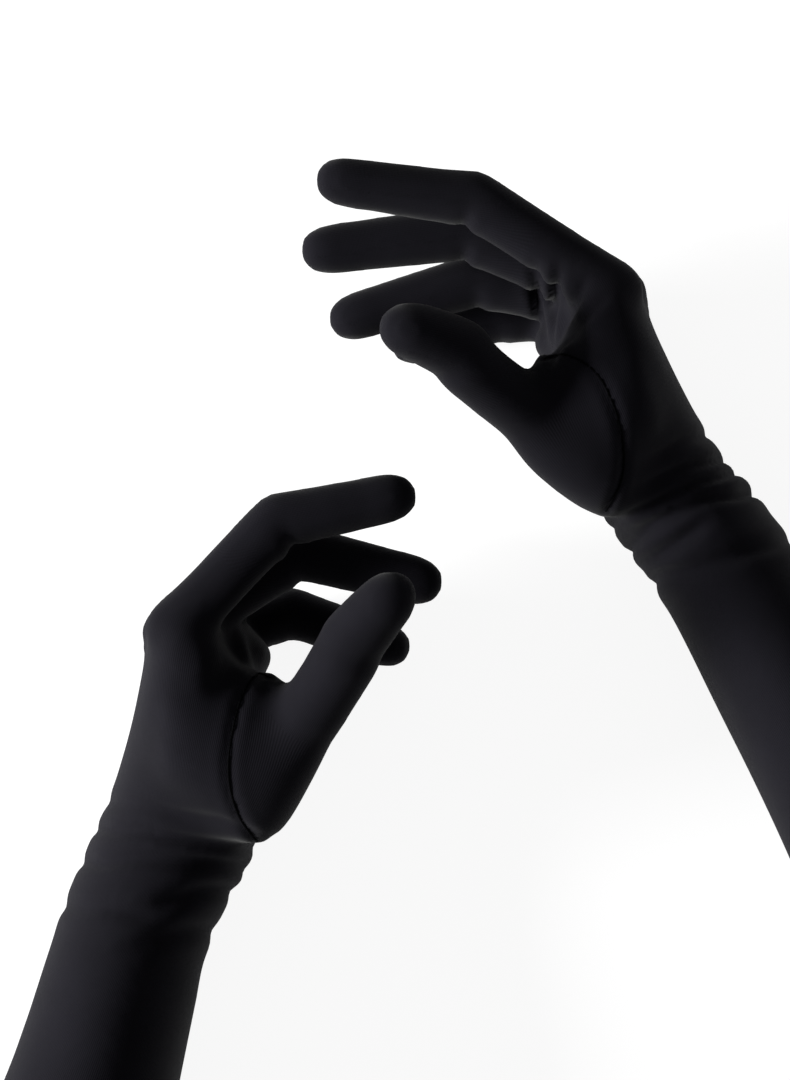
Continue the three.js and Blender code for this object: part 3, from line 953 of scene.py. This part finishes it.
def seam_on_top(side_name, tree, count):
    """The gusset seam's path laid on the skin from above, with the skin's normals."""
    hand = hand_frame(side_name)
    crotch = np.array(GLOVES[side_name]["crotch"])
    flat = smooth_path([crotch + np.array(p) for p in SEAM_PATH[side_name]], count)
    path, ups = [], []
    for x, y in flat:
        start = hand.world(np.array([x, y, 200]) * MM)
        hit, normal, _, _ = tree.ray_cast(Vector(start), Vector((0, 0, -1)))
        if hit is not None:
            path.append(np.array(hit))
            ups.append(np.array(normal))
    return np.array(path), np.array(ups)


def groove_skin(skin, side_name):
    """Sinks the skin a little along the gusset's seam, and plumps it on both sides."""
    tree = surface_tree(skin)
    path, _ = seam_on_top(side_name, tree, 60)
    best = np.full(len(skin.points), 1e9)
    for p in path:
        best = np.minimum(best, np.linalg.norm(skin.points - p, axis=1))
    gap = best / MM
    skin.push(MM * (-0.75 * np.exp(-((gap / 1.0) ** 2)) + 0.2 * np.exp(-(((gap - 3.2) / 1.6) ** 2))))


def add_thumb_seam(side_name, skin):
    tree = surface_tree(skin)
    path, ups = seam_on_top(side_name, tree, 150)
    path = path + ups * 0.00022
    stitches = [tube_along(path, 0.00032, 6, 0.5, ups)]
    seam = joined(f"{side_name}_gusset_seam_thread", stitches, THREAD)
    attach(seam, f"{side_name}_hand")
    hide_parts(f"{side_name}_thumb_seam")


def hem_loop(side_name, skin, back, lift, count):
    """A level loop round the sleeve, back millimetres in from its hem and lifted off the knit."""
    arm = arm_frame(side_name)
    tree = surface_tree(skin)
    loop, ups = [], []
    for i in range(count):
        turn = i * 2 * math.pi / count
        centre = arm.world((0, -SLEEVE + back, 0.0415))
        outward = arm.axes[0] * math.cos(turn) + arm.axes[2] * math.sin(turn)
        hit, normal, _, _ = tree.ray_cast(Vector(centre + outward * 0.2), Vector(-outward))
        loop.append(np.array(hit) + outward * lift)
        ups.append(outward)
    return np.array(loop), np.array(ups)


def add_hem(side_name, skin):
    body = f"{side_name}_upper_arm"
    for row, back in (("outer", HEM - 0.0008), ("inner", HEM - 0.0035)):
        count = 480
        loop, ups = hem_loop(side_name, skin, back, 0.00012, count)
        stitches = []
        for first in range(0, count, 6):
            span = [(first + k) % count for k in range(5)]
            stitches.append(tube_along(loop[span], 0.0003, 5, 0.8, ups[span]))
        made = joined(f"{side_name}_hem_stitch_{row}_thread", stitches, THREAD)
        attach(made, body)
        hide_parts(f"{side_name}_hem_stitch_{row}")

    rows = []
    count = 96
    inside = ((0.0003, 0.0010), (0.0005, 0.0016), (0.008, 0.0017), (0.0155, 0.0017), (0.0158, 0.0011))
    for back, depth in inside:
        loop, ups = hem_loop(side_name, skin, max(back, 0.001), 0, count)
        loop = loop - arm_frame(side_name).axes[1] * (max(back, 0.001) - back)
        rows.append(loop - ups * depth)
    outer = []
    for back in (0.0158, 0.008, 0.0003):
        loop, ups = hem_loop(side_name, skin, max(back, 0.001), 0, count)
        loop = loop - arm_frame(side_name).axes[1] * (max(back, 0.001) - back)
        outer.append(loop - ups * 0.00095)
    rows += outer
    faces = []
    for i in range(len(rows)):
        following = (i + 1) % len(rows)
        for j in range(count):
            k = (j + 1) % count
            faces.append((i * count + j, following * count + j, following * count + k, i * count + k))
    band = joined(f"{side_name}_hem_band_knit", [(np.concatenate(rows), faces)], KNIT_INSIDE)
    band.data.attributes.new("knit", "FLOAT_VECTOR", "POINT").data.foreach_set(
        "vector", knit_places(np.concatenate(rows), arm_frame(side_name)).astype(np.float32).ravel()
    )
    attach(band, body)
    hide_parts(f"{side_name}_hem_band")


def add_side_seam(side_name):
    """The seam allowance that runs inside the sleeve along its little-finger side."""
    arm = arm_frame(side_name)
    stops = (-0.355, -0.30, -0.24, -0.16, -0.09, -0.028)
    path = smooth_path([arm.world((0, y, 0.0029)) for y in stops], 110)
    ups = np.broadcast_to((0, 0, 1), path.shape)
    strip = joined(
        f"{side_name}_side_seam_allowance",
        [tube_along(path, 0.0016, 8, 0.75, ups)],
        KNIT_INSIDE,
    )
    strip.data.attributes.new("knit", "FLOAT_VECTOR", "POINT").data.foreach_set(
        "vector", arm.local(np.array([v.co for v in strip.data.vertices])).astype(np.float32).ravel()
    )
    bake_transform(strip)
    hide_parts(f"{side_name}_forearm_seam", f"{side_name}_upper_seam")
    palm_seam = frame["nodes"][f"{side_name}_hand_seam"]
    palm_seam.data.materials.clear()
    palm_seam.data.materials.append(KNIT_INSIDE)


for side_name in GLOVES:
    whole = build_skin(side_name)
    groove_skin(whole, side_name)
    split_glove(side_name, whole)
    add_thumb_seam(side_name, whole)
    add_hem(side_name, whole)
    add_side_seam(side_name)


# ---------------------------------------------------------------- floor and light

def add_floor():
    floor = mesh_object("floor", [(-6, -6, 0), (6, -6, 0), (6, 6, 0), (-6, 6, 0)], [(0, 1, 2, 3)])
    floor.location.z = -0.0002
    material, nodes, _ = node_tree("pale_floor")
    shader = nodes["Principled BSDF"]
    shader.inputs["Base Color"].default_value = (0.26, 0.26, 0.26, 1)
    shader.inputs["Roughness"].default_value = 0.9
    shader.inputs["Specular IOR Level"].default_value = 0.0
    shader.inputs["Emission Color"].default_value = (1, 1, 1, 1)
    shader.inputs["Emission Strength"].default_value = 0.9
    floor.data.materials.append(material)


def add_area_light(name, location, target, size, power):
    data = bpy.data.lights.new(name, "AREA")
    data.shape = "SQUARE"
    data.size = size
    data.energy = power
    light = bpy.data.objects.new(name, data)
    bpy.context.scene.collection.objects.link(light)
    light.location = location
    direction = Vector(target) - Vector(location)
    light.rotation_mode = "QUATERNION"
    light.rotation_quaternion = direction.to_track_quat("-Z", "Y")


def add_light():
    bpy.context.scene.view_settings.view_transform = "Standard"
    world = bpy.data.worlds.new("studio")
    bpy.context.scene.world = world
    world.use_nodes = True
    world.node_tree.nodes["Background"].inputs["Color"].default_value = (1, 1, 1, 1)
    world.node_tree.nodes["Background"].inputs["Strength"].default_value = 0.2
    add_area_light("key", (-1.9, 0.02, 0.62), (-0.05, 0.18, 0.03), 0.6, 92)


add_floor()
add_light()
